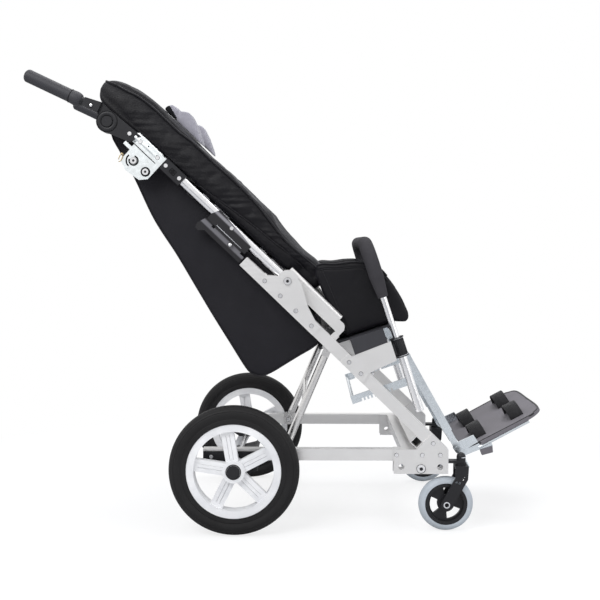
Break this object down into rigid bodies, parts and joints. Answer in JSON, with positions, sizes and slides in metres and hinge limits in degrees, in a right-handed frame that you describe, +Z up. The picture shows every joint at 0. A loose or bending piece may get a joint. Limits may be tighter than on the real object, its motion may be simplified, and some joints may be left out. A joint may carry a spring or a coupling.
{
  "type": "special needs stroller",
  "caption": "Folding special needs stroller with padded tilting back, two push handles, safety bar, legrest with footplate and swivel casters.",
  "frame": {"origin": "on the floor, under the middle of the object's length and width", "axes": "+X forward, +Y to the rider's left, +Z up; the wheels stand on Z = 0"},
  "size_m": [1.2104, 0.566, 1.0625],
  "materials": {
    "satin_aluminium": "satin_brushed",
    "bright_aluminium": "polished",
    "zinc_steel": "zinc_plated",
    "black_nylon": "moulded_fine_grain",
    "smoke_plastic": "smoked_semi_gloss",
    "black_foam": "foam",
    "black_fabric": "woven_padded",
    "grey_fabric": "melange",
    "tyre_black": "rubber_tread",
    "caster_grey": "solid_tyre",
    "rim_white": "moulded",
    "mat_grey": "ribbed_mat"
  },
  "bodies": {
    "frame": {"beams": "satin_aluminium", "rails": "satin_aluminium", "hinge_plates": "satin_aluminium", "front_plates": "satin_aluminium", "cross_tube_front": "satin_aluminium", "cross_bar_flat": "satin_aluminium", "struts": "bright_aluminium", "strut_cross_tube": "bright_aluminium", "rear_axle": "bright_aluminium", "axle_brackets": "black_nylon", "caster_arms": "black_nylon", "frame_rivets": "bright_aluminium", "frame_bolts": "bright_aluminium", "seat_side_plates": "satin_aluminium", "seat_pan": "black_nylon", "seat_cushion": "black_fabric", "side_panels": "black_fabric", "link_bars": "satin_aluminium", "bar_collars": "black_nylon", "guide_tubes": "bright_aluminium", "leg_lugs": "zinc_steel"},
    "back": {"back_tubes": "bright_aluminium", "back_cross_tube": "black_nylon", "knuckles": "black_nylon", "bracket_plates": "zinc_steel", "clamp_blocks": "black_nylon", "latch_housings": "smoke_plastic", "back_pad": "black_fabric", "headrest_pads": "grey_fabric", "rear_bag": "black_fabric", "back_fasteners": "bright_aluminium"},
    "handle_R": {"handle_arm_R": "black_nylon", "grip_R": "black_foam"},
    "handle_L": {"handle_arm_L": "black_nylon", "grip_L": "black_foam"},
    "handle_button_R": {"button_R": "black_nylon"},
    "handle_button_L": {"button_L": "black_nylon"},
    "latch_R": {"latch_lever_R": "smoke_plastic"},
    "latch_L": {"latch_lever_L": "smoke_plastic"},
    "bar": {"safety_bar": "bright_aluminium", "safety_foam": "black_foam"},
    "legrest": {"leg_bars": "zinc_steel"},
    "comb": {"comb_frame": "zinc_steel"},
    "lower_legs": {"leg_fork": "zinc_steel"},
    "foot": {"footplate": "mat_grey", "foot_frame": "zinc_steel", "foot_straps": "black_fabric"},
    "wheel_R": {"tyre_R": "tyre_black", "rim_R": "rim_white"},
    "wheel_L": {"tyre_L": "tyre_black", "rim_L": "rim_white"},
    "cap_R": {"hub_cap_R": "black_nylon"},
    "cap_L": {"hub_cap_L": "black_nylon"},
    "caster_fork_R": {"fork_R": "black_nylon"},
    "caster_fork_L": {"fork_L": "black_nylon"},
    "caster_wheel_R": {"caster_tyre_R": "caster_grey", "caster_rim_R": "black_nylon"},
    "caster_wheel_L": {"caster_tyre_L": "caster_grey", "caster_rim_L": "black_nylon"},
    "brake": {"brake_pedal": "black_nylon"}
  },
  "joints": [
    {"name": "back_fold", "type": "hinge", "parent": "frame", "child": "back", "pos_m": [-0.00358, 0, 0.581], "axis": [0, 1, 0], "range_deg": [0, 84]},
    {"name": "safety_bar_slide", "type": "slide", "parent": "frame", "child": "bar", "axis": [-0.3123, 0, 0.95], "range_m": [-0.0155, 0]},
    {"name": "handle_tilt_R", "type": "hinge", "parent": "back", "child": "handle_R", "pos_m": [-0.41344, -0.214, 0.94375], "axis": [0, 1, 0], "range_deg": [-60, 60]},
    {"name": "handle_tilt_L", "type": "hinge", "parent": "back", "child": "handle_L", "pos_m": [-0.41344, 0.214, 0.94375], "axis": [0, 1, 0], "range_deg": [-60, 60]},
    {"name": "handle_button_press_R", "type": "slide", "parent": "handle_R", "child": "handle_button_R", "axis": [0, 1, 0], "range_m": [0, 0.004], "stiffness_N_per_m": 400},
    {"name": "handle_button_press_L", "type": "slide", "parent": "handle_L", "child": "handle_button_L", "axis": [0, -1, 0], "range_m": [0, 0.004], "stiffness_N_per_m": 400},
    {"name": "latch_pull_R", "type": "slide", "parent": "back", "child": "latch_R", "axis": [-0.7254, 0, 0.6884], "range_m": [0, 0.012], "stiffness_N_per_m": 300},
    {"name": "latch_pull_L", "type": "slide", "parent": "back", "child": "latch_L", "axis": [-0.7254, 0, 0.6884], "range_m": [0, 0.012], "stiffness_N_per_m": 300},
    {"name": "legrest_tilt", "type": "hinge", "parent": "frame", "child": "legrest", "pos_m": [0.2744, 0, 0.40196], "axis": [0, -1, 0], "range_deg": [0, 50]},
    {"name": "comb_tilt", "type": "hinge", "parent": "legrest", "child": "comb", "pos_m": [0.30268, 0, 0.35178], "axis": [0, -1, 0], "range_deg": [-42, 1]},
    {"name": "lower_leg_slide", "type": "slide", "parent": "legrest", "child": "lower_legs", "axis": [-0.4909, 0, 0.8712], "range_m": [-0.012, 0.04]},
    {"name": "footplate_fold", "type": "hinge", "parent": "lower_legs", "child": "foot", "pos_m": [0.39958, 0, 0.1798], "axis": [0, -1, 0], "range_deg": [0, 85]},
    {"name": "wheel_spin_R", "type": "hinge", "parent": "frame", "child": "wheel_R", "pos_m": [-0.12558, -0.26, 0.15], "axis": [0, 1, 0], "continuous": true},
    {"name": "wheel_spin_L", "type": "hinge", "parent": "frame", "child": "wheel_L", "pos_m": [-0.12558, 0.26, 0.15], "axis": [0, 1, 0], "continuous": true},
    {"name": "hub_cap_press_R", "type": "slide", "parent": "wheel_R", "child": "cap_R", "axis": [0, 1, 0], "range_m": [0, 0.003], "stiffness_N_per_m": 400},
    {"name": "hub_cap_press_L", "type": "slide", "parent": "wheel_L", "child": "cap_L", "axis": [0, -1, 0], "range_m": [0, 0.003], "stiffness_N_per_m": 400},
    {"name": "caster_swivel_R", "type": "hinge", "parent": "frame", "child": "caster_fork_R", "pos_m": [0.39909, -0.217, 0.16], "axis": [0, 0, 1], "continuous": true},
    {"name": "caster_swivel_L", "type": "hinge", "parent": "frame", "child": "caster_fork_L", "pos_m": [0.39909, 0.217, 0.16], "axis": [0, 0, 1], "continuous": true},
    {"name": "caster_spin_R", "type": "hinge", "parent": "caster_fork_R", "child": "caster_wheel_R", "pos_m": [0.36409, -0.217, 0.0635], "axis": [0, 1, 0], "continuous": true},
    {"name": "caster_spin_L", "type": "hinge", "parent": "caster_fork_L", "child": "caster_wheel_L", "pos_m": [0.36409, 0.217, 0.0635], "axis": [0, 1, 0], "continuous": true},
    {"name": "brake_press", "type": "hinge", "parent": "frame", "child": "brake", "pos_m": [-0.08758, 0, 0.149], "axis": [0, -1, 0], "range_deg": [0, 25], "stiffness_Nm_per_rad": 2}
  ],
  "couplings": [
    {"joint": "safety_bar_slide", "follows": "back_fold", "m_per_rad": -0.0102},
    {"joint": "comb_tilt", "follows": "legrest_tilt", "ratio": -0.82}
  ]
}
